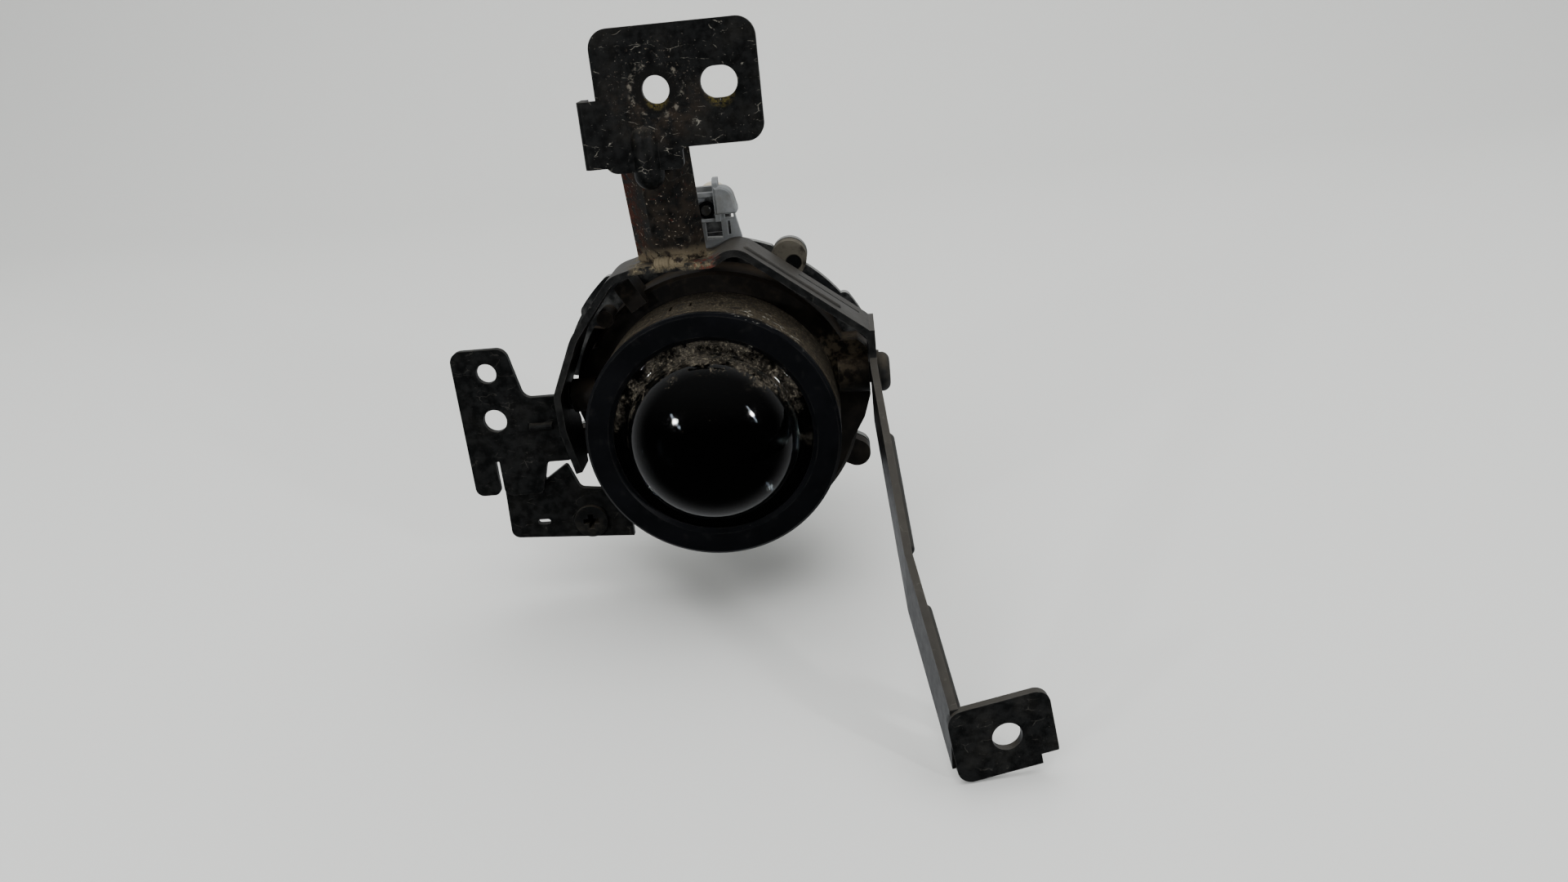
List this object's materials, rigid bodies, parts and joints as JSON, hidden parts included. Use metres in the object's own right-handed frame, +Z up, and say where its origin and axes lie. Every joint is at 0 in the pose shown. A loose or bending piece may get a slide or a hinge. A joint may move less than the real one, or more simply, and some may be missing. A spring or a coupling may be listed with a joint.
{
  "type": "fog light",
  "caption": "Round projector fog light with a domed glass lens, held by two side pivots in a pressed steel bracket with bolt tabs, an aim screw and a bayonet bulb.",
  "frame": {"origin": "centre of the front face of the round lens rim, on the optical axis", "axes": "-Y is the direction of the beam, +X is to the right as seen from the front, +Z is up"},
  "size_m": [0.1586, 0.1904, 0.167],
  "materials": {
    "painted_steel": "black electrocoat over pressed steel, dusty and scratched",
    "rusty_steel": "black electrocoat broken by brown rust and weld scale",
    "zinc_steel": "zinc-plated steel fasteners",
    "black_screw": "black-coated steel pivot screw, matt",
    "spring_steel": "blackened spring steel",
    "shield_steel": "pressed steel sheet",
    "collar_steel": "bright pressed steel",
    "terminal_brass": "tinned brass blades",
    "filament_wire": "tungsten coil on steel posts",
    "rim_plastic": "moulded black plastic, satin",
    "holder_plastic": "moulded black plastic under a beige film of road dirt",
    "housing_plastic": "moulded black plastic, dusty",
    "bulb_plastic": "moulded grey-black plastic",
    "black_nylon": "black nylon",
    "white_nylon": "natural nylon",
    "seal_rubber": "black rubber",
    "bulb_seal_rubber": "red-brown silicone rubber",
    "clear_glass": "clear pressed glass",
    "reflector_bright": "vacuum-metallised reflector"
  },
  "bodies": {
    "bracket": {"bracket_band": "painted_steel", "upper_plate": "painted_steel", "bracket_column": "rusty_steel", "column_welds": "rusty_steel", "side_plate": "painted_steel", "lower_tab": "painted_steel", "screw_grommet": "black_nylon", "adjuster_holder": "housing_plastic", "right_pivot_washer": "black_nylon", "right_pivot_screw": "black_screw", "left_pivot_bush": "black_nylon"},
    "lamp": {"lens_rim": "rim_plastic", "projector_lens": "clear_glass", "lens_gasket": "seal_rubber", "lens_holder": "holder_plastic", "left_pivot_pin": "zinc_steel", "housing_seal": "seal_rubber", "lamp_housing": "housing_plastic", "housing_screws": "zinc_steel", "vent_cap": "seal_rubber", "cutoff_shield": "shield_steel", "reflector": "reflector_bright"},
    "bulb": {"bulb_base": "bulb_plastic", "bulb_terminals": "terminal_brass", "bulb_seal": "bulb_seal_rubber", "bulb_collar": "collar_steel", "bulb_glass": "clear_glass", "bulb_filament": "filament_wire"},
    "aim_screw": {"aim_screw": "zinc_steel", "aim_screw_clip": "spring_steel"},
    "aim_nut": {"aim_nut": "white_nylon"}
  },
  "joints": [
    {"name": "lamp_tilt", "type": "hinge", "parent": "bracket", "child": "lamp", "pos_m": [0, 0.024, 0.008], "axis": [1, 0, 0], "range_deg": [-4, 4]},
    {"name": "bulb_twist", "type": "hinge", "parent": "lamp", "child": "bulb", "pos_m": [0, 0.085, 0], "axis": [0, 1, 0], "range_deg": [0, 40]},
    {"name": "aim_screw_turn", "type": "hinge", "parent": "bracket", "child": "aim_screw", "pos_m": [0.0022, 0.044, 0.0585], "axis": [0, 1, 0], "range_deg": [-860, 860]},
    {"name": "aim_nut_travel", "type": "slide", "parent": "bracket", "child": "aim_nut", "axis": [0, 1, 0], "range_m": [-0.0036, 0.0036]}
  ],
  "couplings": [
    {"joint": "aim_nut_travel", "follows": "lamp_tilt", "m_per_rad": -0.0505},
    {"joint": "aim_screw_turn", "follows": "lamp_tilt", "ratio": 211.53}
  ]
}
